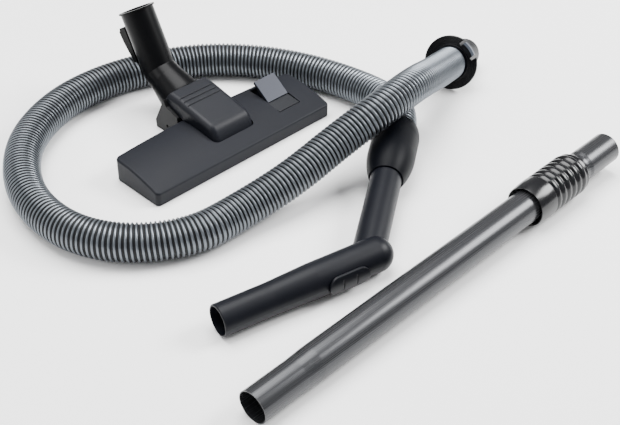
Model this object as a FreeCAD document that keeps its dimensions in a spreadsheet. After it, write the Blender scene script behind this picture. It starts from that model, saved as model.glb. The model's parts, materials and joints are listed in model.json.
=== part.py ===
import FreeCAD, Part
import math
import os
import re
import Sketcher
from FreeCAD import Placement, Rotation, Vector

# A vacuum cleaner's hose and tool set, laid out on a floor: a floor head with a swivelling neck,
# a telescopic wand, and a ribbed hose with a bent handle and a machine connector.
# +Z is up, +X runs along the wand and the floor head, and the origin is on the floor at the
# middle of the set. The tubes belong to the common 35 mm system.

SIZES = {
    # the shared tube system
    "tube_od": 35.0, "tube_wall": 0.9, "tip_od": 34.0, "socket_id": 35.2, "fit_gap": 0.3,
    # floor head
    "head_x": -43.2, "head_y": 94.9, "head_long": 268.0, "head_half_deep": 41.8,
    "front_high": 16.5, "rear_high": 28.5, "crown_radius": 200.0, "shell": 2.2,
    "rear_end": 34.5, "rear_bow": 1250.0, "front_corner": 5.0, "rear_corner": 8.0, "edge_round": 2.5,
    "sole_thick": 1.0, "base_thick": 2.5, "slot_wide": 5.4,
    # knuckle that carries the neck
    "knuckle_dx": 1.8, "pivot_y": 20.5, "pivot_z": 12.0, "pivot_radius": 3.0, "nose_radius": 40.0,
    "cap_wide": 61.0, "cap_wall": 2.5, "cap_side": 4.5, "cap_round": 7.5, "housing_wide": 52.0,
    "cheek_wide": 70.0, "channel_radius": 19.5,
    "roller_radius": 10.3, "roller_wide": 7.0, "axle_radius": 2.0, "roller_y": 44.0,
    "ring_y": 56.0, "ring_z": 18.0, "swivel_rise": 27.0, "ring_hole": 22.5,
    # neck
    "elbow_run": 46.2, "neck_bend": 34.7, "neck_od": 40.6, "neck_run": 78.0, "neck_base": 26.4,
    "lip_od": 44.6, "socket_deep": 50.0, "neck_bore": 16.8,
    # pedal
    "pedal_dx": 87.5, "pedal_wide": 32.4, "pedal_pin": 2.0, "pedal_z": 20.0,
    # hose
    "hose_od": 42.0, "hose_wall": 2.0,
    # bent handle: the bend, its two axes and its pieces
    "bend_x": -89.6, "bend_y": -176.6, "bend_z": 17.6, "grip_y": -180.6, "grip_z": 19.3, "grip_root": 6.0,
    "root_od": 37.6, "lower_heading": 167.7, "lower_rise": -0.4, "lower_long": 177.3,
    "upper_heading": 33.6, "upper_rise": 3.3, "upper_long": 142.0, "handle_wall": 2.4,
    "cuff_start": 126.0, "cuff_end": 216.0, "cuff_radius": 27.1, "cuff_seat": 22.4, "hose_start": 210.4,
    "slider_middle": 39.0, "slider_long": 48.0, "slider_wide": 21.0, "slider_top": 22.3,
    # machine connector
    "flange_radius": 34.5, "flange_thick": 3.0, "spigot_radius": 19.0, "spigot_end": 60.0, "spigot_bore": 16.5,
    "tab_wide": 19.0, "slit_wide": 3.6, "tab_angle": 132.8, "tab_root": 24.0,
    # telescopic wand
    "wand_x": -313.2, "wand_y": -246.0, "wand_z": 17.05, "wand_heading": 0.4, "wand_rise": 0.95,
    "outer_long": 452.0, "sleeve_start": 399.0, "sleeve_end": 493.0, "sleeve_radius": 24.0,
    "wand_long": 553.5, "inner_start": 100.0, "inner_od": 33.6, "wand_od": 36.0, "wand_socket": 34.2,
}

# The hose's route from the handle to the machine connector, as the corners of its centre line.
HOSE_ROUTE = [
    (85.6, -60.6, 29.0), (115.6, -40.6, 30.5), (136.6, -2.6, 26.0), (139.6, 61.4, 21.2), (122.6, 128.4, 21.2),
    (88.6, 192.4, 21.2), (38.6, 241.4, 21.2), (-25.4, 268.4, 21.2), (-86.4, 280.4, 21.2), (-152.4, 273.4, 21.2),
    (-217.4, 240.4, 21.2), (-260.4, 191.4, 21.2), (-286.4, 131.4, 21.2), (-287.4, 62.4, 21.2), (-258.4, 6.4, 21.2),
    (-198.4, -33.6, 21.2), (-133.4, -36.6, 23.0), (-67.4, -46.6, 37.5), (-3.4, -50.6, 57.0), (57.6, -61.6, 79.0),
    (121.6, -52.6, 79.0), (192.2, -24.0, 50.3), (260.7, -0.5, 30.9),
]
CONNECTOR_FROM_END = 10.0       # the flange's middle is this far back from the hose's end

doc = FreeCAD.newDocument("VacuumToolSet")
sheet = doc.addObject("Spreadsheet::Sheet", "Sizes")
parts = []


def fill_sheet():
    for row, (name, value) in enumerate(SIZES.items(), 1):
        sheet.set(f"A{row}", name)
        sheet.set(f"B{row}", str(value))
        sheet.setAlias(f"B{row}", name)
    doc.recompute()


def bound(text):
    """The expression with each size's name pointing at its cell."""
    return re.sub(r"[a-z]\w*", lambda word: "Sizes." + word[0] if word[0] in SIZES else word[0], str(text))


def size(text):
    """The expression's value now."""
    value = sheet.evalExpression(bound(text))
    return float(getattr(value, "Value", value))


def place(x=0, y=0, z=0, rotation=None):
    return Placement(Vector(size(x), size(y), size(z)), rotation or Rotation())


def about_z(turn):
    return Placement(Vector(), Rotation(Vector(0, 0, 1), turn))


def direction(heading, rise):
    """The unit vector at a heading from +X and a rise from the floor, in degrees."""
    across = math.cos(math.radians(rise))
    return Vector(math.cos(math.radians(heading)) * across, math.sin(math.radians(heading)) * across,
                  math.sin(math.radians(rise)))


def bind(thing, sizes):
    for name, text in sizes.items():
        thing.setExpression(name, bound(text))
    return thing


# Sketches and the features made from them

def arc_between(start, end, radius):
    """The arc from start to end; a positive radius bulges to the left of the way."""
    chord = end - start
    middle = start + chord * 0.5
    left = Vector(-chord.y, chord.x, 0).normalize()
    reach = math.sqrt(max(radius ** 2 - (chord.Length / 2) ** 2, 0))
    sign = 1 if radius > 0 else -1
    top = middle + left * sign * (abs(radius) - reach)
    return Part.Arc(start, top, end)


def outline(body, plane, corners):
    """A closed outline on one of the body's own planes. A corner is (x, y), or (x, y, radius)
    where an arc leads to it. Every corner is tied to the sheet."""
    sketch = body.newObject("Sketcher::SketchObject", body.Name + "_outline")
    planes = [f for f in body.Origin.OriginFeatures if f.Role == plane]
    sketch.AttachmentSupport = [(planes[0], "")]
    sketch.MapMode = "FlatFace"
    spots = [Vector(size(c[0]), size(c[1]), 0) for c in corners]
    count = len(corners)
    for i in range(count):
        start, end = spots[i], spots[(i + 1) % count]
        bend = corners[(i + 1) % count][2:]
        edge = arc_between(start, end, size(bend[0])) if bend else Part.LineSegment(start, end)
        sketch.addGeometry(edge, False)
    for i in range(count):
        tie_corner(sketch, i, corners, spots)
    for i in range(count):
        bend = corners[(i + 1) % count][2:]
        if bend:
            index = sketch.addConstraint(Sketcher.Constraint("Radius", i, abs(size(bend[0]))))
            sketch.setExpression(f"Constraints[{index}]", bound(f"abs({bend[0]})"))
    return sketch


def arc_end(sketch, i, spot):
    """Which end of edge i lies at the spot: 1 for its start, 2 for its end."""
    edge = sketch.Geometry[i]
    return 1 if edge.StartPoint.distanceToPoint(spot) < edge.EndPoint.distanceToPoint(spot) else 2


def tie_corner(sketch, i, corners, spots):
    before = (i - 1) % len(corners)
    here, there = arc_end(sketch, i, spots[i]), arc_end(sketch, before, spots[i])
    sketch.addConstraint(Sketcher.Constraint("Coincident", before, there, i, here))
    for kind, axis, value, text in (("DistanceX", -2, spots[i].x, corners[i][0]),
                                    ("DistanceY", -1, spots[i].y, corners[i][1])):
        if abs(value) < 1e-9:
            sketch.addConstraint(Sketcher.Constraint("PointOnObject", i, here, axis))
            continue
        index = sketch.addConstraint(Sketcher.Constraint(kind, -1, 1, i, here, value))
        sketch.setExpression(f"Constraints[{index}]", bound(text))


def turned(label, corners, where=None):
    """A solid of revolution about its own Z; each corner is (radius, height)."""
    body = doc.addObject("PartDesign::Body", label)
    sketch = outline(body, "XZ_Plane", corners)
    turn = body.newObject("PartDesign::Revolution", label + "_turn")
    turn.Profile = sketch
    turn.ReferenceAxis = (sketch, ["V_Axis"])
    turn.Angle = 360
    body.Placement = where or Placement()
    return body


def padded(label, plane, corners, length, where=None, midplane=True):
    """The outline on one plane, made thick along that plane's normal."""
    body = doc.addObject("PartDesign::Body", label)
    pad = body.newObject("PartDesign::Pad", label + "_pad")
    pad.Profile = outline(body, plane, corners)
    bind(pad, {"Length": length})
    pad.Midplane = midplane
    body.Placement = where or Placement()
    return body


def rod(label, radius, length, where=None):
    rod_ = doc.addObject("Part::Cylinder", label)
    bind(rod_, {"Radius": radius, "Height": length})
    rod_.Placement = where or Placement()
    return rod_


def block(label, low, high, where=None):
    """A box from its lowest to its highest corner, each a tuple of expressions."""
    box = doc.addObject("Part::Box", label)
    spans = [f"({b}) - ({a})" for a, b in zip(low, high)]
    bind(box, dict(zip(("Length", "Width", "Height"), spans)))
    box.Placement = (where or Placement()) * place(*low)
    return box


def ball(label, radius, where=None):
    sphere = doc.addObject("Part::Sphere", label)
    bind(sphere, {"Radius": radius})
    sphere.Placement = where or Placement()
    return sphere


def fused(label, *pieces):
    whole = doc.addObject("Part::MultiFuse", label)
    whole.Shapes = list(pieces)
    return whole


def cut(label, base, *tools):
    """The base less each tool in turn."""
    for i, tool in enumerate(tools):
        result = doc.addObject("Part::Cut", f"{label}_{i}")
        result.Base = base
        result.Tool = tool
        base = result
    return base


def common(label, base, tool):
    result = doc.addObject("Part::Common", label)
    result.Base = base
    result.Tool = tool
    return result


def rounded(label, base, radius, choose):
    """The base with the edges that choose picks rounded off."""
    doc.recompute()
    result = doc.addObject("Part::Fillet", label)
    result.Base = base
    picked = [i for i, edge in enumerate(base.Shape.Edges, 1) if choose(edge)]
    result.Edges = [(i, size(radius), size(radius)) for i in picked]
    return result


def node(name, thing):
    """Keeps the finished sub-part under the name its file gets."""
    thing.Label = name
    parts.append((name, thing))
    return thing


# Floor head. Its own frame is at the middle of the sole, on the floor, front towards -Y.

SCREW_SPOTS = [(-108.6, 15), (-108.6, -18), (0, -23.3), (108.6, -18), (108.6, 15)]


def plan(label, grow, high, low="0"):
    """The head's outline seen from above, grown by an amount, as a block."""
    half, deep = f"(head_long / 2 + ({grow}))", f"(head_half_deep + ({grow}))"
    front, rear, back = f"(front_corner + ({grow}))", "rear_corner", f"(rear_end + ({grow}))"
    corners = [(f"-{half} + {front}", f"-{deep}", f"-{front}"), (f"{half} - {front}", f"-{deep}"),
               (half, f"-{deep} + {front}", f"-{front}"), (half, f"{back} - {rear}"),
               (f"{half} - {rear}", back, f"-{rear}"), (f"-{half} + {rear}", back, "-rear_bow"),
               (f"-{half}", f"{back} - {rear}", f"-{rear}"), (f"-{half}", f"-{deep} + {front}")]
    return padded(label, "XY_Plane", corners, f"({high}) - ({low})", place(0, 0, low), False)


def crown(label, grow):
    """The head's cross-section, front wall, arched top and rear wall, along its whole length."""
    front, rear = f"-(head_half_deep + ({grow}))", f"head_half_deep + 2.2 + ({grow})"
    corners = [(front, "-5"), (rear, "-5"), (rear, f"rear_high + ({grow})"),
               (front, f"front_high + ({grow})", "-crown_radius")]
    return padded(label, "YZ_Plane", corners, f"head_long + 20 + 2 * ({grow})")


def crowned_block(label, grow, low):
    return common(label, plan(label + "_plan", grow, "40", low), crown(label + "_crown", grow))


def head_frame():
    return place("head_x", "head_y", 0)


def moved(thing, frame):
    """The same sub-part, placed by another frame."""
    thing.Placement = frame * thing.Placement
    return thing


def top_edge(edge):
    low = edge.BoundBox
    return low.ZMin > size("front_high") - 1.5 and edge.Length > 8


def head_cover():
    outer = rounded("cover_outer", crowned_block("cover_solid", "0", "sole_thick"), "edge_round", top_edge)
    hollow = crowned_block("cover_hollow", "-shell", "0")
    left, right = "knuckle_dx - cap_wide / 2 - 0.8", "knuckle_dx + cap_wide / 2 + 0.8"
    front, bend = "pivot_y - nose_radius + 0.5", "cap_round"
    gap = [(f"{left} + {bend}", front, f"-{bend}"), (f"{right} - {bend}", front), (right, f"{front} + {bend}", f"-{bend}"),
           (right, "60"), (left, "60"), (left, f"{front} + {bend}")]
    knuckle_gap = padded("cover_knuckle_gap", "XY_Plane", gap, "90")
    pedal_gap = block("cover_pedal_gap", ("pedal_dx - pedal_wide / 2 - 0.8", "-20.8", "-1"),
                      ("pedal_dx + pedal_wide / 2 + 0.8", "33.2", "45"))
    shell = cut("cover_shell", outer, hollow, knuckle_gap, pedal_gap)
    posts = [rod(f"screw_post_{i}", "3.3", "40", place(x, y, "4")) for i, (x, y) in enumerate(SCREW_SPOTS)]
    posts = common("screw_posts_cut", fused("screw_posts", *posts), crowned_block("post_limit", "-1", "1"))
    bores = [rod(f"post_bore_{i}", "1.5", "9", place(x, y, "4")) for i, (x, y) in enumerate(SCREW_SPOTS)]
    cover = cut("cover_cut", fused("cover_whole", shell, posts), *bores)
    return node("head_cover", moved(cover, head_frame()))


def brush_slots(label, grow):
    """The slots that the brush strips pass through: one in front, two behind."""
    half = f"(slot_wide / 2 + {grow})"
    slots = [("-122", "122", "-30"), ("-122", "-34", "28"), ("40", "122", "28")]
    return [block(f"{label}_{i}", (low, f"{y} - {half}", "-5"), (high, f"{y} + {half}", "10"))
            for i, (low, high, y) in enumerate(slots)]


def knuckle_bay(label, grow):
    """The opening in the underside that the knuckle and its rollers stand in."""
    half = f"(housing_wide / 2 + 1 + {grow})"
    return block(label, (f"knuckle_dx - {half}", f"-5 - {grow}", "-5"), (f"knuckle_dx + {half}", "70", "30"))


def head_base():
    floor = plan("base_floor", "-shell - 0.2", "sole_thick + base_thick", "sole_thick")
    pieces, holes = [floor], brush_slots("base_slot", "0") + [knuckle_bay("base_bay", "0")]
    holes.append(block("base_mouth", ("-100", "-17", "-5"), ("100", "-4.9", "10")))
    for side in (-1, 1):
        x = f"knuckle_dx + {side} * (housing_wide / 2 + 5)"
        pieces.append(block(f"pin_boss_{side}", (f"{x} - 3.6", "pivot_y - 6", "sole_thick"),
                            (f"{x} + 3.6", "pivot_y + 6", "pivot_z + 6")))
        x = f"pedal_dx + {side} * (pedal_wide / 2 + 3.2)"
        pieces.append(block(f"pedal_post_{side}", (f"{x} - 1.8", "-4.5", "sole_thick"),
                            (f"{x} + 1.8", "4.5", "pedal_z + 3.4")))
    holes.append(rod("pin_bore", "pivot_radius", "housing_wide + 20",
                     place("knuckle_dx - housing_wide / 2 - 10", "pivot_y", "pivot_z", Rotation(0, 90, 0))))
    holes.append(rod("pedal_bore", "pedal_pin", "pedal_wide + 20",
                     place("pedal_dx - pedal_wide / 2 - 10", 0, "pedal_z", Rotation(0, 90, 0))))
    holes += [rod(f"screw_bore_{i}", "1.6", "20", place(x, y, -1)) for i, (x, y) in enumerate(SCREW_SPOTS)]
    base = cut("base_cut", fused("base_solid", *pieces), *holes)
    return node("head_base", moved(base, head_frame()))


def sole_plate():
    plate = plan("sole_blank", "-1.2", "sole_thick")
    holes = brush_slots("sole_slot", "0.4") + [knuckle_bay("sole_bay", "0.5")]
    holes.append(block("sole_mouth", ("-100.5", "-17.5", "-5"), ("100.5", "-4.4", "10")))
    holes += [block(f"strip_window_{i}", (low, "-24.4", "-1"), (high, "-18.6", "5"))
              for i, (low, high) in enumerate((("-96.4", "-19.6"), ("19.6", "96.4")))]
    holes += [rod(f"sole_screw_{i}", "3.4", "20", place(x, y, -5)) for i, (x, y) in enumerate(SCREW_SPOTS)]
    return node("sole_plate", moved(cut("sole_cut", plate, *holes), head_frame()))


def lint_strips():
    strips = [block(f"strip_{i}", (low, "-24", "0.2"), (high, "-19", "sole_thick"))
              for i, (low, high) in enumerate((("-96", "-20"), ("20", "96")))]
    return node("lint_strips", moved(fused("strips", *strips), head_frame()))


def head_screws():
    """Countersunk screws that hold the base to the cover's bosses."""
    screws = [turned(f"screw_{i}", [(0, 0.3), (3, 0.3), (3, 1), (1.5, 1), (1.5, 12), (0, 12)], place(x, y))
              for i, (x, y) in enumerate(SCREW_SPOTS)]
    return node("head_screws", moved(fused("screws", *screws), head_frame()))


def brush_carrier():
    """The frame that lifts the brush strips: three bars on two side links."""
    bars = [("-121", "121", "-32.6", "-27.4"), ("-121", "-35", "25.4", "30.6"), ("41", "121", "25.4", "30.6"),
            ("-119", "-113", "-30", "28"), ("113", "119", "-30", "28")]
    blocks = [block(f"brush_bar_{i}", (x0, y0, "9.2"), (x1, y1, "12"))
              for i, (x0, x1, y0, y1) in enumerate(bars)]
    return node("brush_carrier", moved(fused("brush_frame", *blocks), head_frame()))


def bristles():
    front = block("front_strip", ("-119", "-31.6", "1.4"), ("119", "-28.4", "9.2"))
    node("front_bristles", moved(front, head_frame()))
    rear = [block(f"rear_strip_{i}", (low, "26.4", "1.4"), (high, "29.6", "9.2"))
            for i, (low, high) in enumerate((("-119", "-37"), ("43", "119")))]
    node("rear_bristles", moved(fused("rear_strips", *rear), head_frame()))


# Pedal that raises and lowers the brushes. Its own frame is on its pin.

def pedal_frame():
    return head_frame() * place("pedal_dx", 0, "pedal_z")


def pedal():
    """A rocker: its front half lies flush with the cover, its rear half stands up."""
    corners = [("-19.6", "0.6"), ("-4.4", "3.2"), ("-3.8", "-3.2"), ("3.8", "-3.2", "5"), ("4.6", "3.4"),
               ("26", "22"), ("25.4", "24"), ("0.6", "5.8"), ("-19.6", "3.2")]
    solid = padded("rocker_solid", "YZ_Plane", corners, "pedal_wide")
    bore = rod("rocker_bore", "pedal_pin + 0.05", "60", place(-30, 0, 0, Rotation(0, 90, 0)))
    node("pedal_rocker", moved(cut("rocker_cut", solid, bore), pedal_frame()))
    pad = padded("pad_solid", "YZ_Plane", [("0.6", "5.8"), ("25.4", "24"), ("24.6", "25.1"), ("0.1", "7")],
                 "pedal_wide")
    node("pedal_pad", moved(pad, pedal_frame()))
    pin = rod("pedal_pin_rod", "pedal_pin", "pedal_wide + 9",
              place("-pedal_wide / 2 - 4.5", 0, 0, Rotation(0, 90, 0)))
    node("pedal_pin", moved(pin, pedal_frame()))
    leaf = block("leaf", ("-6", "8", "-16.5"), ("6", "20", "-15.9"))
    node("pedal_leaf_spring", moved(leaf, pedal_frame()))


# Knuckle: the carrier that tilts in the head. Its own frame is on its tilting axis.

def knuckle_frame():
    return head_frame() * place("knuckle_dx", "pivot_y", "pivot_z")


def swivel_in_knuckle():
    """On the neck's turning axis, where the neck meets the knuckle; its Z runs up the neck."""
    return place(0, "ring_y", "ring_z", Rotation(Vector(1, 0, 0), size("swivel_rise") - 90))


def swivel_frame():
    return knuckle_frame() * swivel_in_knuckle()


def cap_section(radius, low, rear_low, rear_high, ridge, front):
    """The cap seen from its side: a round nose about the tilting axis and a sloping back."""
    nose_y = f"-sqrt({radius} ^ 2 - {low} ^ 2)"
    return [(nose_y, low, f"-{radius}"), rear_low, rear_high, ("26", ridge), ("-22", front),
            (f"-sqrt({radius} ^ 2 - 22 ^ 2)", "22", "-16")]


def knuckle_cap():
    solid = padded("cap_solid", "YZ_Plane", cap_section("nose_radius", "6", ("53.5", "22.9"), ("44.2", "41.2"),
                                                        "39", "29.6"), "cap_wide")
    outer = rounded("cap_outer", solid, "cap_round", lambda e: e.BoundBox.XLength < 0.1
                    and e.BoundBox.ZMin > 5 and e.BoundBox.YMax < 45)
    inner = padded("cap_inner", "YZ_Plane",
                   cap_section("(nose_radius - cap_wall)", "5", ("60", "15"), ("60", "43.1 - cap_wall"),
                               "39 - cap_wall", "29.6 - cap_wall"), "cap_wide - 2 * cap_side")
    grooves = [block(f"cap_groove_{i}", ("-40", f"{y} - 0.7", f"{z} - 1.1"), ("40", f"{y} + 0.7", "50"))
               for i, (y, z) in enumerate(((13.5, 36.7), (20.8, 38.1), (28.1, 39.3)))]
    return node("knuckle_cap", moved(cut("cap_cut", outer, inner, *grooves), knuckle_frame()))


def knuckle_housing():
    """The carrier's lower half: side walls, the air channel, roller wells and the ring's seat."""
    corners = [("-15", "-9"), ("38", "-9"), ("42", "-11.6"), ("62", "-11.6"), ("66", "-1.6"),
               ("45.6", "38.4"), ("26", "36.3"), ("-15", "28.2")]
    solid = padded("housing_solid", "YZ_Plane", corners, "housing_wide")
    seat = [(0, "-130"), ("channel_radius", "-130"), ("channel_radius", "-8.3"), ("ring_hole + 1.9", "-8.3"),
            ("ring_hole + 1.9", "-4.3"), ("ring_hole", "-4.3"), ("ring_hole", "12"), (0, "12")]
    cheeks = [("21.6", "-9"), ("38", "-9"), ("42", "-11.6"), ("65", "-11.6"), ("66", "-1.6"), ("48.5", "32.7"),
              ("44", "25"), ("24.8", "18")]
    room = padded("cap_room", "YZ_Plane", [("-45", "4.6"), ("53.8", "22.6"), ("43.8", "42"), ("-45", "42")],
                  "cap_wide + 0.6")
    cheeks = cut("cheeks_cut", padded("housing_cheeks", "YZ_Plane", cheeks, "cheek_wide"), room)
    solid = fused("housing_whole", solid, cheeks)
    holes = [moved(turned("ring_seat", seat), swivel_in_knuckle()),
             rod("tilt_bore", "pivot_radius + 0.05", "80", place(-40, 0, 0, Rotation(0, 90, 0))),
             rod("axle_bore", "axle_radius", "80", place(-40, "roller_y", -1.5, Rotation(0, 90, 0)))]
    holes += [block(f"well_{side}", (low, "roller_y - 12", "-20"), (high, "roller_y + 12", "10.4"))
              for side, low, high in (("left", "-24.4", "-16"), ("right", "16", "24.4"))]
    return node("knuckle_housing", moved(cut("housing_cut", solid, *holes), knuckle_frame()))


def knuckle_small_parts():
    for name, side in (("left", -1), ("right", 1)):
        turn = Rotation(0, 90, 0)
        tilt = rod(f"tilt_{name}", "pivot_radius", "13",
                   place(f"{side} * (housing_wide / 2 + 1.6) - 6.5", 0, 0, turn))
        node(f"tilt_pin_{name}", moved(tilt, knuckle_frame()))
        axle = rod(f"axle_{name}", "axle_radius", "10.6",
                   place(f"{side} * (housing_wide / 2 - 5.5) - 5.3", "roller_y", "-1.5", turn))
        node(f"roller_axle_{name}", moved(axle, knuckle_frame()))
        half, hub = "roller_wide / 2", "axle_radius + 0.06"
        corners = [(hub, f"-{half}"), ("roller_radius - 1", f"-{half}"), ("roller_radius", f"-{half} + 1"),
                   ("roller_radius", f"{half} - 1"), ("roller_radius - 1", half), (hub, half)]
        roller = turned(f"roller_{name}_turned", corners, place(f"{side} * 20.2", "roller_y", "-1.5", turn))
        node(f"roller_{name}", moved(roller, knuckle_frame()))


# Neck: an elbow that turns in the knuckle and takes the wand's tip

def socket_frame():
    """At the elbow's corner; its Z runs along the socket and out of its mouth."""
    bend = Rotation(Vector(1, 0, 0), size("neck_bend"))
    return swivel_frame() * place(0, 0, "elbow_run", bend)


def neck_elbow():
    base = [("ring_hole - 0.3", "-8"), ("ring_hole - 0.3", "0.4"), ("neck_base", "0.4"), ("neck_base", "3"),
            ("neck_od / 2 + 1.2", "31"), ("neck_od / 2", "elbow_run"), (0, "elbow_run"), (0, "-8")]
    outer = fused("neck_outer", moved(turned("neck_base_turned", base), swivel_frame()),
                  moved(ball("neck_corner", "neck_od / 2"), socket_frame()),
                  moved(rod("neck_tube", "neck_od / 2", "neck_run"), socket_frame()),
                  moved(turned("neck_lip", [(0, "neck_run - 1.8"), ("lip_od / 2", "neck_run - 1.8"),
                                            ("lip_od / 2", "neck_run"), (0, "neck_run")]), socket_frame()))
    bore = [("channel_radius + 0.5", "-9"), ("channel_radius + 0.5", "2"), ("neck_bore", "30"),
            ("neck_bore", "elbow_run"), (0, "elbow_run"), (0, "-9")]
    inner = fused("neck_inner", moved(turned("neck_base_bore", bore), swivel_frame()),
                  moved(ball("neck_corner_bore", "neck_bore"), socket_frame()),
                  moved(rod("neck_tube_bore", "neck_bore", "neck_run + 5"), socket_frame()),
                  moved(rod("neck_socket_bore", "socket_id / 2", "socket_deep + 5",
                            place(0, 0, "neck_run - socket_deep")), socket_frame()))
    return node("neck_elbow", cut("neck_cut", outer, inner))


def swivel_ring():
    """The ring that keeps the neck in the knuckle."""
    ring = turned("ring_turned", [("ring_hole - 0.3", "-7.6"), ("ring_hole + 1.5", "-7.6"),
                                  ("ring_hole + 1.5", "-4.6"), ("ring_hole - 0.3", "-4.6")])
    return node("swivel_ring", moved(ring, swivel_frame()))


def parking_hook():
    """The clip on the back of the neck that hangs the head on the cleaner."""
    back = "neck_od / 2"
    corners = [(f"{back} - 1", "neck_run - 17"), (f"{back} + 10.5", "neck_run - 17"),
               (f"{back} + 13.5", "neck_run - 21", "-4"), (f"{back} + 12.5", "neck_run - 34"),
               (f"{back} + 6", "neck_run - 60"), (f"{back} - 1", "neck_run - 63")]
    solid = padded("hook_solid", "YZ_Plane", corners, "28")
    slots = [block(f"hook_slot_{i}", (x, f"{back} + 2", "neck_run - 70"),
                   (f"{x} + 5", f"{back} + 9", "neck_run - 24")) for i, x in enumerate((-11, -2.5, 6))]
    core = rod("hook_core", f"{back}", "120", place(0, 0, -20))
    return node("parking_hook", moved(cut("hook_cut", solid, core, *slots), socket_frame()))


# Straight pieces that lie along a heading: their own Z runs along it, X to its left, Y upwards

def facing(heading, rise):
    along = direction(heading, rise)
    left = Vector(-math.sin(math.radians(heading)), math.cos(math.radians(heading)), 0)
    return Rotation(left, along.cross(left), along, "ZXY")


def upright_stadium(label, long, wide, middle, thick):
    """A slot shape along Z, made thick outwards along X."""
    reach, turn = f"(({long}) - ({wide})) / 2", Rotation(0, 90, 0)
    straight = block(label + "_middle", ("0", f"-({wide}) / 2", f"{middle} - {reach}"),
                     (thick, f"({wide}) / 2", f"{middle} + {reach}"))
    ends = [rod(f"{label}_end_{i}", f"({wide}) / 2", thick, place(0, 0, f"{middle} + {i} * {reach}", turn))
            for i in (-1, 1)]
    return fused(label, straight, *ends)


# Bent handle

def lower_frame():
    return place("bend_x", "grip_y", "grip_z", facing(size("lower_heading"), size("lower_rise")))


def upper_frame():
    return place("bend_x", "bend_y", "bend_z", facing(size("upper_heading"), size("upper_rise")))


def handle_tube():
    """A tapering grip with a ball-shaped root, a straight tube up from it, and an air hole by the bend."""
    grip, bore, tip, root = "tube_od / 2", "(tube_od / 2 - handle_wall)", "tip_od / 2 - 0.05", "root_od / 2"
    lower = [(0, "-grip_root"), (root, "-grip_root"), (root, "70"), (tip, "lower_long - 58"),
             (tip, "lower_long - 1"), ("tip_od / 2 - 1", "lower_long"), (0, "lower_long")]
    outer = fused("handle_outer", moved(turned("handle_lower", lower), lower_frame()),
                  moved(rod("handle_upper", grip, "upper_long"), upper_frame()),
                  moved(ball("handle_ball", root, place(0, 0, "-grip_root")), lower_frame()))
    inner = fused("handle_inner",
                  moved(rod("lower_bore", bore, "lower_long + 15", place(0, 0, "-grip_root")), lower_frame()),
                  moved(rod("upper_bore", bore, "upper_long + 5"), upper_frame()),
                  moved(ball("ball_bore", bore, place(0, 0, "-grip_root")), lower_frame()))
    hole = moved(block("air_hole", ("0", "-4", "slider_middle + 9.5"), ("30", "4", "slider_middle + 20")),
                 lower_frame())
    return node("handle_tube", cut("handle_cut", outer, inner, hole))


def air_slider():
    """The sliding shutter over the air hole, with a soft seal under it."""
    outer = rod("slider_outer", "slider_top", "80")
    inner = rod("slider_inner", "root_od / 2 + 1.3", "80")
    shape = upright_stadium("slider_outline", "slider_long", "slider_wide", "slider_middle", "30")
    grooves = [block(f"slider_groove_{i}", ("slider_top - 1", "-12", f"slider_middle + {at} - 0.8"),
                     ("30", "12", f"slider_middle + {at} + 0.8")) for i, at in enumerate((-8, 8))]
    shell = cut("slider_shell", common("slider_shape", shape, outer), inner, *grooves)
    node("air_slider", moved(shell, lower_frame()))
    seal_outer = rod("seal_outer", "root_od / 2 + 1.3", "80")
    seal_inner = rod("seal_inner", "root_od / 2 + fit_gap", "80")
    seal_shape = upright_stadium("seal_outline", "slider_long - 4", "slider_wide - 4", "slider_middle", "30")
    seal = cut("seal_shell", common("seal_shape_cut", seal_shape, seal_outer), seal_inner)
    node("slider_seal", moved(seal, lower_frame()))


def swivel_cuff():
    """The egg-shaped cuff: it turns on the handle's upper tube and holds the hose's end."""
    corners = [("tube_od / 2 + fit_gap", "cuff_start"), ("tube_od / 2 + 1.8", "cuff_start"),
               ("cuff_radius", "cuff_start + 44", "-110"), ("cuff_radius", "cuff_start + 70"),
               ("cuff_radius - 2.9", "cuff_end", "-50"), ("cuff_seat", "cuff_end"), ("cuff_seat", "cuff_start + 24"),
               ("tube_od / 2 + 2.7", "cuff_start + 10"), ("tube_od / 2 + fit_gap", "cuff_start + 10")]
    solid = turned("cuff_solid", corners)
    slots = [block(f"snap_slot_{turn}", ("cuff_seat + 0.8", "-3.3", "cuff_end - 5.5"),
                   ("30", "3.3", "cuff_end - 3.5"), about_z(turn)) for turn in range(27, 387, 45)]
    return node("swivel_cuff", moved(cut("cuff_cut", solid, *slots), upper_frame()))


def swivel_snap_ring():
    ring = turned("snap_ring", [("tube_od / 2", "upper_long - 3.4"), ("tube_od / 2 + 2", "upper_long - 3.4"),
                                ("tube_od / 2 + 2", "upper_long - 0.6"), ("tube_od / 2", "upper_long - 0.6")])
    return node("swivel_snap_ring", moved(ring, upper_frame()))


def handle_side_cuff():
    ring = turned("hose_end_ring", [("tube_od / 2", "hose_start - 55"), ("cuff_seat", "hose_start - 55"),
                                    ("cuff_seat", "hose_start - 0.6"), ("tube_od / 2", "hose_start - 0.6")])
    return node("handle_side_cuff", moved(ring, upper_frame()))


# Hose: a plain tube along its route, with a tangent arc at each corner

def route_edges():
    """Straight runs joined by tangent arcs, each as wide as the shorter run allows."""
    spots = [Vector(*spot) for spot in HOSE_ROUTE]
    edges, radii, last = [], [], spots[0]
    for before, corner, after in zip(spots, spots[1:], spots[2:]):
        back, on = before - corner, after - corner
        reach = 0.45 * min(back.Length, on.Length)
        half_turn = (math.pi - back.getAngle(on)) / 2
        start = corner + back.normalize() * reach
        end = corner + on.normalize() * reach
        radius = reach / math.tan(half_turn)
        inward = (start + end) * 0.5 - corner
        top = corner + inward.normalize() * (math.hypot(radius, reach) - radius)
        edges += [Part.LineSegment(last, start).toShape(), Part.Arc(start, top, end).toShape()]
        radii.append(radius)
        last = end
    edges.append(Part.LineSegment(last, spots[-1]).toShape())
    return edges, radii


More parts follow.
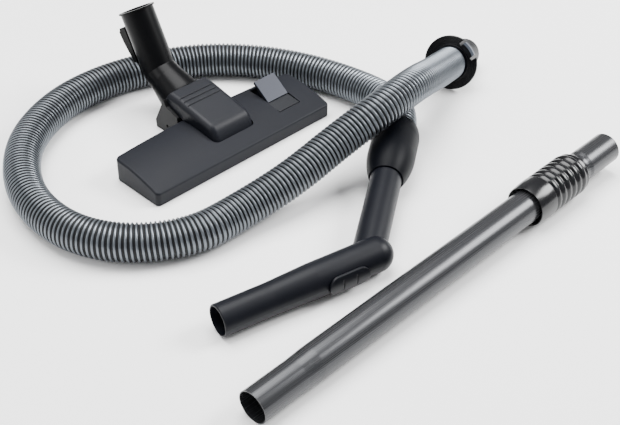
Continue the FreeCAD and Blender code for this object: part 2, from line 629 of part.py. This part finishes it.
def hose_tube():
    edges, radii = route_edges()
    path = doc.addObject("Part::Feature", "hose_path")
    path.Shape = Part.Wire(edges)
    start, run = Vector(*HOSE_ROUTE[0]), Vector(*HOSE_ROUTE[1]) - Vector(*HOSE_ROUTE[0])
    sweeps = []
    for label, radius in (("hose_outer", "hose_od / 2"), ("hose_inner", "hose_od / 2 - hose_wall")):
        ring = doc.addObject("Part::Circle", label + "_ring")
        bind(ring, {"Radius": radius})
        ring.Placement = Placement(start, Rotation(Vector(0, 0, 1), run))
        sweep = doc.addObject("Part::Sweep", label)
        sweep.Sections = [ring]
        sweep.Spine = (path, [f"Edge{i + 1}" for i in range(len(edges))])
        sweep.Solid = True
        sweeps.append(sweep)
    hose = node("hose_tube", cut("hose_cut", *sweeps))
    doc.recompute()
    length = path.Shape.Length
    outer, inner = size("hose_od / 2"), size("hose_od / 2 - hose_wall")
    expected = math.pi * (outer ** 2 - inner ** 2) * length
    print("hose length", round(length, 1), "bend radii", [round(radius) for radius in radii])
    print("hose volume over section times length", round(hose.Shape.Volume / expected, 4))
    return hose


# Machine connector. Its own frame is at the flange's middle, Z into the machine.

def connector_frame():
    along = Vector(*HOSE_ROUTE[-1]) - Vector(*HOSE_ROUTE[-2])
    heading = math.degrees(math.atan2(along.y, along.x))
    rise = math.degrees(math.asin(along.z / along.Length))
    middle = Vector(*HOSE_ROUTE[-1]) - along.normalize() * CONNECTOR_FROM_END
    return Placement(middle, facing(heading, rise))


def machine_cuff():
    ring = turned("machine_ring", [("hose_od / 2 + 0.2", "-6"), ("hose_od / 2 + 0.9", "-6"),
                                   ("hose_od / 2 + 0.9", "14"), ("tube_od / 2", "14"), ("tube_od / 2", "10"),
                                   ("hose_od / 2 + 0.2", "10")])
    return node("machine_cuff", moved(ring, connector_frame()))


def tab_frame():
    """The flange's frame turned so that X points out along the latch tab."""
    return connector_frame() * about_z(size("tab_angle"))


def connector_body():
    """The flange and the spigot that goes into the machine's inlet."""
    half = "flange_thick / 2"
    wide, narrow = "spigot_radius + 4.2", "spigot_radius"
    ridges = []
    for i in range(5):
        at = f"{wide} + {1.2 + 1.9 * i:.1f}"
        ridges += [(at, f"-{half}"), (f"{at} + 0.3", f"-{half} + 0.6"), (f"{at} + 0.9", f"-{half} + 0.6"),
                   (f"{at} + 1.2", f"-{half}")]
    corners = [("hose_od / 2 + 1.2", f"-{half} - 2"), (wide, f"-{half} - 2"), (wide, f"-{half}"),
               *ridges, ("flange_radius - 1", f"-{half}"), ("flange_radius", f"-{half} + 1"),
               ("flange_radius", f"{half} - 1"), ("flange_radius - 1", half), (wide, half), (wide, "16"),
               (narrow, "22"), (narrow, "spigot_end - 1.5"), (f"{narrow} - 1.5", "spigot_end"),
               ("spigot_bore", "spigot_end"), ("spigot_bore", "14.3"), ("hose_od / 2 + 1.2", "14.3")]
    solid = moved(turned("connector_solid", corners), tab_frame())
    window = moved(block("tab_window", ("tab_root", "-(tab_wide / 2 + slit_wide)", "-6"),
                         ("60", "tab_wide / 2 + slit_wide", "6")), tab_frame())
    groove = moved(turned("seal_groove", [(f"{narrow} - 0.6", "24"), ("30", "24"), ("30", "26.5"),
                                          (f"{narrow} - 0.6", "26.5")]), tab_frame())
    node("connector_body", cut("connector_cut", solid, window, groove))
    ring = turned("seal_ring_turned", [(f"{narrow} - 0.6", "24"), (f"{narrow} + 0.9", "24"),
                                       (f"{narrow} + 0.9", "26.5"), (f"{narrow} - 0.6", "26.5")])
    node("seal_ring", moved(ring, tab_frame()))


def connector_latch():
    """The springy tab between the flange's slits, and the lip the thumb pulls."""
    half = "flange_thick / 2"
    disc = rod("tab_disc", "flange_radius", "flange_thick", place(0, 0, f"-{half}"))
    strip = block("tab_strip", ("tab_root + fit_gap", "-tab_wide / 2", "-6"), ("60", "tab_wide / 2", "6"))
    node("connector_latch", moved(common("tab_cut", disc, strip), tab_frame()))
    outer = rod("lip_outer", "flange_radius", "4.5", place(0, 0, f"-{half} - 4.5"))
    inner = rod("lip_inner", "flange_radius - 3.4", "20", place(0, 0, f"-{half} - 9"))
    wide = block("lip_wide", ("tab_root", "-tab_wide / 2", "-20"), ("60", "tab_wide / 2", "0"))
    node("latch_lip", moved(cut("lip_cut", common("lip_part", outer, wide), inner), tab_frame()))


# Telescopic wand. Its own frame is at the middle of its near end, Z along it.

def wand_frame():
    return place("wand_x", "wand_y", "wand_z", facing(size("wand_heading"), size("wand_rise")))


def wand_tubes():
    tip, outer, wall = "tip_od / 2 + 0.1", "wand_od / 2", "tube_wall"
    corners = [(f"{tip} - {wall}", 0), (tip, 0), (tip, 55), (outer, 75), (outer, "outer_long"),
               (f"{outer} - {wall}", "outer_long"), (f"{outer} - {wall}", 75), (f"{tip} - {wall}", 55)]
    node("wand_outer_tube", moved(turned("outer_tube", corners), wand_frame()))
    slim, wide = "inner_od / 2", "wand_socket / 2"
    mouth, wall = "wand_long - socket_deep", "0.65"
    corners = [(f"{slim} - {wall}", "inner_start"), (slim, "inner_start"), (slim, f"{mouth} - 5"),
               (f"{wide} + {wall}", mouth), (f"{wide} + {wall}", "wand_long - 0.6"),
               (f"{wide} + 0.2", "wand_long"), (wide, "wand_long"), (wide, mouth),
               (f"{slim} - {wall}", f"{mouth} - 5")]
    node("wand_inner_tube", moved(turned("inner_tube", corners), wand_frame()))


def wand_sleeve():
    """The lock's outer sleeve: a smooth swelling band, then six rounded grip ribs, then a cone."""
    deep, pitch, ribs = "sleeve_radius - 1.6", 9.4, 6
    inside, bore, front = "sleeve_radius - 2", "inner_od / 2 + 0.5", "wand_od / 2 + 0.5"
    corners = [(front, "sleeve_start + 3"), ("sleeve_radius - 2.4", "sleeve_start"),
               ("sleeve_radius - 1.4", "sleeve_start"), ("sleeve_radius", "sleeve_start + 26", "-150"),
               (deep, "sleeve_start + 27")]
    for i in range(ribs):
        foot = f"sleeve_start + {28 + pitch * i:.1f}"
        corners += [(deep, foot), (deep, f"{foot} + 8.4", "-6.3")]
    corners += [("sleeve_radius - 1.4", "sleeve_end - 7"), ("sleeve_radius - 5.4", "sleeve_end"),
                (bore, "sleeve_end"), (bore, "sleeve_end - 8"), (inside, "sleeve_end - 8"),
                (inside, "sleeve_start + 28"), (front, "sleeve_start + 28")]
    node("wand_sleeve", moved(turned("sleeve_solid", corners), wand_frame()))


def wand_lock():
    """The bush between the tubes, the key in its window and the sleeve's spring."""
    out, on_inner = "wand_od / 2 + 2.3", "inner_od / 2 + fit_gap"
    corners = [("wand_od / 2", "outer_long - 20"), (out, "outer_long - 20"), (out, "outer_long + 24"),
               (on_inner, "outer_long + 24"), (on_inner, "outer_long"), ("wand_od / 2", "outer_long")]
    window = block("key_window", ("0", "-4", "outer_long + 6"), ("40", "4", "outer_long + 18"))
    bush = cut("bush_cut", turned("bush_solid", corners), window)
    node("wand_guide_bush", moved(bush, wand_frame()))
    key = block("lock_key", (on_inner, "-3.7", "outer_long + 6.3"), (f"{out} - 0.1", "3.7", "outer_long + 17.7"))
    node("wand_lock_key", moved(key, wand_frame()))
    spring = turned("spring_ring", [(out, "outer_long - 18"), (f"{out} + 0.9", "outer_long - 18"),
                                    (f"{out} + 0.9", "outer_long - 2"), (out, "outer_long - 2")])
    node("wand_lock_spring", moved(spring, wand_frame()))


def check_document():
    doc.recompute()
    for thing in doc.Objects:
        if {"Invalid", "Error"} & set(thing.State):
            raise RuntimeError(f"{thing.Label} failed: {thing.State}")
    for name, thing in parts:
        shape = thing.Shape
        if shape.isNull() or not shape.isValid() or shape.Volume < 1:
            raise RuntimeError(f"{name} has no valid shape")


fill_sheet()
for make in (head_cover, head_base, sole_plate, lint_strips, head_screws, brush_carrier, bristles, pedal,
             knuckle_cap, knuckle_housing, knuckle_small_parts, neck_elbow, swivel_ring, parking_hook,
             handle_tube, air_slider, swivel_cuff, swivel_snap_ring, handle_side_cuff, hose_tube,
             machine_cuff, connector_body, connector_latch, wand_tubes, wand_sleeve, wand_lock):
    make()
check_document()
os.makedirs("parts", exist_ok=True)
for name, thing in parts:
    thing.Shape.exportStep(f"parts/{name}.step")
print(len(parts), "sub-parts written")
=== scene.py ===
"""The looks of a vacuum cleaner's hose and tool set: a ribbed hose, finishes, a floor and soft light."""
import json
import math

import bmesh
import bpy
from mathutils import Matrix, Vector


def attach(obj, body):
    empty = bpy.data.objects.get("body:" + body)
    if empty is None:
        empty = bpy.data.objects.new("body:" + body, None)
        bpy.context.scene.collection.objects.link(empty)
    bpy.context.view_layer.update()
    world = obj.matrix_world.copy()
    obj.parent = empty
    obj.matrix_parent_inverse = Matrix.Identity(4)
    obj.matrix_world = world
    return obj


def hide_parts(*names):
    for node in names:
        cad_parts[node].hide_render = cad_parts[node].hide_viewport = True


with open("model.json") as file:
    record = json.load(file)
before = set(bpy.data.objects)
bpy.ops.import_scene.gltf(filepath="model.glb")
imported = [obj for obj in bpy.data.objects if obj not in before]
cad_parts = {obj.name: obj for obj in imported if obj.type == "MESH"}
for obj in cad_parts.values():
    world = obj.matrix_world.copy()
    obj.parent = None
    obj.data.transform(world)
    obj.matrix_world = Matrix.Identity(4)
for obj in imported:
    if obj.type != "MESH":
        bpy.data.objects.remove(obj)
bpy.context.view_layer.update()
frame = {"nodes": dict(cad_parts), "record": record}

# The hose's route from the handle to the machine connector, in metres: the same points as the CAD tube.
HOSE_ROUTE = [
    (.0856, -.0606, .0290), (.1156, -.0406, .0305), (.1366, -.0026, .0260), (.1396, .0614, .0212),
    (.1226, .1284, .0212), (.0886, .1924, .0212), (.0386, .2414, .0212), (-.0254, .2684, .0212),
    (-.0864, .2804, .0212), (-.1524, .2734, .0212), (-.2174, .2404, .0212), (-.2604, .1914, .0212),
    (-.2864, .1314, .0212), (-.2874, .0624, .0212), (-.2584, .0064, .0212), (-.1984, -.0336, .0212),
    (-.1334, -.0366, .0230), (-.0674, -.0466, .0375), (-.0034, -.0506, .0570), (.0576, -.0616, .0790),
    (.1216, -.0526, .0790), (.1922, -.0240, .0503), (.2607, -.0005, .0309),
]
HOSE_DIAMETER = .042

# One rib, in metres: the crest's share of the pitch, and how far the crest rounds off at its sides.
RIB_PITCH = .0051
RIB_DEPTH = .0022
CREST_SHARE = .56
CREST_FALL = .0013
CREST_POWER = 2.2
STEPS_PER_RIB = 8
AROUND = 60

# What every moulded or metal surface shares.
BLOTCH_SCALE = 34
EDGE_SAMPLES = 6
RELIEF_HEIGHT = .0001
ALONG_SCRATCH, ACROSS_SCRATCH = 8, 900


# Materials

def material(name):
    """A new material and its node tree."""
    made = bpy.data.materials.new(name)
    made.use_nodes = True
    return made, made.node_tree


def add(tree, kind, **values):
    """Adds a node; a key that is an input's name sets that input, and any other key sets a property."""
    made = tree.nodes.new(kind)
    for key, value in values.items():
        if key in made.inputs:
            made.inputs[key].default_value = value
        else:
            setattr(made, key, value)
    return made


def tint(colour, share):
    return tuple(min(1, channel * share) for channel in colour) + (1,)


def vary(tree, pattern, colour, spread, rough, smoothest, roughest):
    """Lets a pattern vary the shader's colour, by the spread, and its roughness, between two shares of it."""
    shader = tree.nodes["Principled BSDF"]
    tone = add(tree, "ShaderNodeValToRGB")
    tone.color_ramp.elements[0].color = tint(colour, 1 - spread)
    tone.color_ramp.elements[1].color = tint(colour, 1 + spread)
    tree.links.new(pattern.outputs["Fac"], tone.inputs["Fac"])
    tree.links.new(tone.outputs["Color"], shader.inputs["Base Color"])
    polish = add(tree, "ShaderNodeMapRange")
    polish.inputs["To Min"].default_value = rough * smoothest
    polish.inputs["To Max"].default_value = min(1, rough * roughest)
    tree.links.new(pattern.outputs["Fac"], polish.inputs["Value"])
    tree.links.new(polish.outputs["Result"], shader.inputs["Roughness"])


def emboss(tree, pattern, strength, edge):
    """Raises a pattern as a fine relief, and softens the piece's edges."""
    shader = tree.nodes["Principled BSDF"]
    soft = add(tree, "ShaderNodeBevel", samples=EDGE_SAMPLES, Radius=edge)
    bump = add(tree, "ShaderNodeBump", Strength=strength, Distance=RELIEF_HEIGHT)
    tree.links.new(pattern.outputs["Fac"], bump.inputs["Height"])
    tree.links.new(soft.outputs["Normal"], bump.inputs["Normal"])
    tree.links.new(bump.outputs["Normal"], shader.inputs["Normal"])


def grained(name, colour, rough=.5, grain=.25, size=2600, spread=.15, bevel=.0006, metal=0, gloss=.5):
    """A moulded or painted finish: a fine grain, slight unevenness in tone and gloss, and soft edges."""
    made, tree = material(name)
    shader = tree.nodes["Principled BSDF"]
    shader.inputs["Metallic"].default_value = metal
    shader.inputs["Specular IOR Level"].default_value = gloss
    place = add(tree, "ShaderNodeTexCoord")
    blotch = add(tree, "ShaderNodeTexNoise", Scale=BLOTCH_SCALE, Detail=4)
    pits = add(tree, "ShaderNodeTexNoise", Scale=size, Detail=2)
    for noise in (blotch, pits):
        tree.links.new(place.outputs["Object"], noise.inputs["Vector"])
    vary(tree, blotch, colour, spread, rough, .9, 1.12)
    emboss(tree, pits, grain, bevel)
    return made


def brushed(name, colour, rough=.3, metal=1):
    """Metal with fine scratches that run along X."""
    made, tree = material(name)
    tree.nodes["Principled BSDF"].inputs["Metallic"].default_value = metal
    place = add(tree, "ShaderNodeTexCoord")
    stretch = add(tree, "ShaderNodeMapping", Scale=(ALONG_SCRATCH, ACROSS_SCRATCH, ACROSS_SCRATCH))
    scratches = add(tree, "ShaderNodeTexNoise", Scale=1, Detail=5)
    tree.links.new(place.outputs["Object"], stretch.inputs["Vector"])
    tree.links.new(stretch.outputs["Vector"], scratches.inputs["Vector"])
    vary(tree, scratches, colour, .12, rough, .85, 1.15)
    emboss(tree, scratches, .05, .0004)
    return made


CHARCOAL = (.0044, .0052, .0084)
finishes = {
    "head_plastic": grained("head_grain", CHARCOAL, rough=.5, grain=.5, size=1900, gloss=.16),
    "base_plastic": grained("base_grain", (.0022, .0024, .0032), rough=.6, gloss=.3),
    "knuckle_plastic": grained(
        "knuckle_grain", CHARCOAL, rough=.46, grain=.4, size=1900, bevel=.0012, gloss=.19),
    "neck_plastic": grained("neck_satin", (.0007, .0008, .0013), rough=.34, grain=.08, gloss=.12),
    "hook_plastic": grained("hook_satin", (.0006, .0006, .0009), rough=.42, grain=.1, gloss=.05),
    "sole_metal": brushed("sole_steel", (.62, .62, .63)),
    "steel": brushed("turned_steel", (.6, .6, .6), rough=.25),
    "bristle": grained("nylon_bristle", (.01, .01, .01), rough=.8, grain=1, size=900),
    "lint_velour": grained("red_velour", (.2, .015, .015), rough=.95, grain=1, size=1400),
    "roller_rubber": grained("roller_rubber", (.015, .015, .016), rough=.75, grain=.4),
    "pedal_plastic": grained("pedal_front", (.0060, .0068, .0092), rough=.36, grain=.15, gloss=.28),
    "pedal_pad_plastic": grained("pedal_pad_grey", (.022, .026, .040), rough=.42, grain=.12, gloss=.24),
    "cuff_plastic": grained("cuff_satin", (.0012, .0016, .0030), rough=.46, grain=.08, gloss=.07),
    "handle_plastic": grained(
        "handle_grain", (.0030, .0036, .0062), rough=.42, grain=.3, size=1900, gloss=.16),
    "slider_plastic": grained(
        "slider_satin", (.0030, .0036, .0058), rough=.38, grain=.1, bevel=.0009, gloss=.2),
    "seal_rubber": grained("seal_rubber", (.006, .006, .006), rough=.8, gloss=.3),
    "connector_plastic": grained("connector_satin", (.0020, .0023, .0036), rough=.36, grain=.1, gloss=.2),
    # Painted light: the latch lip is a lighter grey than the connector's dark plastic, standing in for the
    # light falling on it.
    "lip_plastic": grained("lip_painted_light", (.075, .085, .105), rough=.35, grain=.06, gloss=.3),
    "wand_metal": brushed("wand_gunmetal", (.032, .033, .036), rough=.27, metal=.5),
    "sleeve_plastic": grained(
        "sleeve_gloss", (.0022, .0024, .0034), rough=.22, grain=.03, bevel=.0008, gloss=.4),
    "lock_plastic": grained("lock_acetal", (.4, .4, .42), rough=.5),
    "hose_plastic": grained("hose_silver", (.135, .150, .168), rough=.30, grain=.06, bevel=.0002, metal=.75),
    # Painted shade: a near-black material for the faces down in the hose's grooves, standing in for the shade
    # there.
    "hose_groove": grained("hose_groove_painted_shade", (.0060, .0068, .0080), rough=.5, gloss=.2),
}
for part in frame["record"]["subparts"]:
    data = frame["nodes"][part["node"]].data
    data.materials.clear()
    data.materials.append(finishes[part["material_slot"]])


# Hose

def smooth_route(points, order):
    """The NURBS line that has these points as its control points, as closely spaced places on it."""
    curve = bpy.data.curves.new("hose_line", "CURVE")
    curve.dimensions = "3D"
    curve.resolution_u = 24
    line = curve.splines.new("NURBS")
    line.points.add(len(points) - 1)
    for point, place in zip(line.points, points):
        point.co = (*place, 1)
    line.order_u = order
    line.use_endpoint_u = True
    holder = bpy.data.objects.new("hose_line", curve)
    bpy.context.scene.collection.objects.link(holder)
    bpy.context.view_layer.update()
    mesh = bpy.data.meshes.new_from_object(holder.evaluated_get(bpy.context.evaluated_depsgraph_get()))
    places = [vertex.co.copy() for vertex in mesh.vertices]
    bpy.data.objects.remove(holder)
    return places


def evenly(places, step):
    """Places along the line, one step apart, each with the line's direction there."""
    spots, carried = [], 0
    for start, end in zip(places, places[1:]):
        run = (end - start).length
        while carried <= run:
            spots.append(start.lerp(end, carried / run))
            carried += step
        carried -= run
    behind, ahead = [spots[0]] + spots, spots[1:] + [spots[-1]]
    ways = [(after - before).normalized() for before, after in zip(behind, ahead)]
    return spots, ways


def side_vectors(ways):
    """A vector across the line at each place, carried along it without twisting."""
    side = ways[0].cross(Vector((0, 0, 1))).normalized()
    sides = []
    for way in ways:
        side = (side - way * side.dot(way)).normalized()
        sides.append(side)
    return sides


def in_groove(step):
    return step % STEPS_PER_RIB / STEPS_PER_RIB > CREST_SHARE


def rib_radius(step):
    """The hose's radius at a step along it: each rib is a rounded crest, then a flat groove."""
    if in_groove(step):
        return HOSE_DIAMETER / 2 - RIB_DEPTH
    across_crest = 2 * (step % STEPS_PER_RIB / STEPS_PER_RIB) / CREST_SHARE - 1
    return HOSE_DIAMETER / 2 - CREST_FALL * abs(across_crest) ** CREST_POWER


def helix_rows(mesh, places):
    """Rows of vertices round the line; each row runs one rib further along in its turn."""
    spots, ways = evenly(places, RIB_PITCH / STEPS_PER_RIB)
    sides = side_vectors(ways)
    rows = []
    for i in range(len(spots) - STEPS_PER_RIB):
        row = []
        for j in range(AROUND):
            along = i + j / AROUND * STEPS_PER_RIB
            low, part = int(along), along % 1
            middle = spots[low].lerp(spots[low + 1], part)
            way = ways[low].lerp(ways[low + 1], part).normalized()
            side = sides[low].lerp(sides[low + 1], part)
            side = (side - way * side.dot(way)).normalized()
            angle = 2 * math.pi * j / AROUND
            outward = side * math.cos(angle) + way.cross(side) * math.sin(angle)
            row.append(mesh.verts.new(middle + outward * rib_radius(i)))
        rows.append(row)
    return rows


def ribbed_hose(places):
    """A tube whose rib winds round it as a helix, silver on the crests, with painted shade (near-black) on
    the groove faces.
    """
    mesh = bmesh.new()
    rows = helix_rows(mesh, places)
    for i in range(len(rows) - 1):
        # Faces in a groove take the second slot, the painted shade.
        groove = in_groove(i) or in_groove(i + 1)
        for j in range(AROUND):
            # Where a row's turn closes, it meets the row one rib further along.
            jump = STEPS_PER_RIB if j == AROUND - 1 else 0
            if i + 1 + jump < len(rows):
                beside = (j + 1) % AROUND
                face = mesh.faces.new(
                    (rows[i][j], rows[i + 1][j], rows[i + 1 + jump][beside], rows[i + jump][beside]))
                face.material_index = int(groove)
                face.smooth = True
    data = bpy.data.meshes.new("ribbed_hose")
    mesh.to_mesh(data)
    mesh.free()
    data.materials.append(finishes["hose_plastic"])
    data.materials.append(finishes["hose_groove"])
    hose = bpy.data.objects.new("ribbed_hose", data)
    bpy.context.scene.collection.objects.link(hose)
    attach(hose, "hose_set")
    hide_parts("hose_tube")
    return hose


hose_line = smooth_route(HOSE_ROUTE, 3)
hose = ribbed_hose(hose_line)


# Floor, light and camera

def floor():
    reach = 8
    corners = [(-reach, -reach, 0), (reach, -reach, 0), (reach, reach, 0), (-reach, reach, 0)]
    data = bpy.data.meshes.new("floor")
    data.from_pydata(corners, [], [(0, 1, 2, 3)])
    ground = bpy.data.objects.new("floor", data)
    bpy.context.scene.collection.objects.link(ground)
    made, tree = material("pale_floor")
    shader = tree.nodes["Principled BSDF"]
    shader.inputs["Roughness"].default_value = .7
    speckle = add(tree, "ShaderNodeTexNoise", Scale=60, Detail=2)
    tone = add(tree, "ShaderNodeValToRGB")
    tone.color_ramp.elements[0].color = (.97, .97, .97, 1)
    tone.color_ramp.elements[1].color = (.99, .99, .99, 1)
    tree.links.new(speckle.outputs["Fac"], tone.inputs["Fac"])
    tree.links.new(tone.outputs["Color"], shader.inputs["Base Color"])
    data.materials.append(made)


def area_light(name, spot, size, power):
    """A rectangular light that faces the origin."""
    lamp = bpy.data.lights.new(name, "AREA")
    lamp.shape = "RECTANGLE"
    lamp.size, lamp.size_y = size
    lamp.energy = power
    holder = bpy.data.objects.new(name, lamp)
    holder.location = spot
    holder.rotation_euler = (-Vector(spot)).to_track_quat("-Z", "Y").to_euler()
    bpy.context.scene.collection.objects.link(holder)


def surroundings(strength):
    world = bpy.data.worlds.new("studio")
    world.use_nodes = True
    world.node_tree.nodes["Background"].inputs["Color"].default_value = (1, 1, 1, 1)
    world.node_tree.nodes["Background"].inputs["Strength"].default_value = strength
    bpy.context.scene.world = world


def camera():
    """The camera: where it stands, its heading, tilt and roll in degrees, and its lens in millimetres."""
    spot = Vector((-.7684, -.7606, .7627))
    heading, down, roll, lens = 44.5, 37.68, .8, 66.33
    ahead, drop, lean = math.radians(heading), math.radians(down), math.radians(roll)
    forward = Vector((math.cos(ahead) * math.cos(drop), math.sin(ahead) * math.cos(drop), -math.sin(drop)))
    right = forward.cross(Vector((0, 0, 1))).normalized()
    up = right.cross(forward)
    turned = right * math.cos(lean) + up * math.sin(lean)
    basis = Matrix((turned, turned.cross(forward), -forward)).transposed()
    data = bpy.data.cameras.new("camera")
    data.sensor_width = 36
    data.lens = lens
    data.clip_start = .01
    holder = bpy.data.objects.new("camera", data)
    holder.matrix_world = Matrix.Translation(spot) @ basis.to_4x4()
    bpy.context.scene.collection.objects.link(holder)
    bpy.context.scene.camera = holder


floor()
surroundings(.5)
area_light("key", spot=(1.8, -1.15, 1.7), size=(1.2, 1), power=120)
area_light("top", spot=(.1, .6, 2.6), size=(2.4, 2), power=190)
area_light("left", spot=(-2.4, .8, 1.5), size=(1.2, 1.4), power=30)
camera()
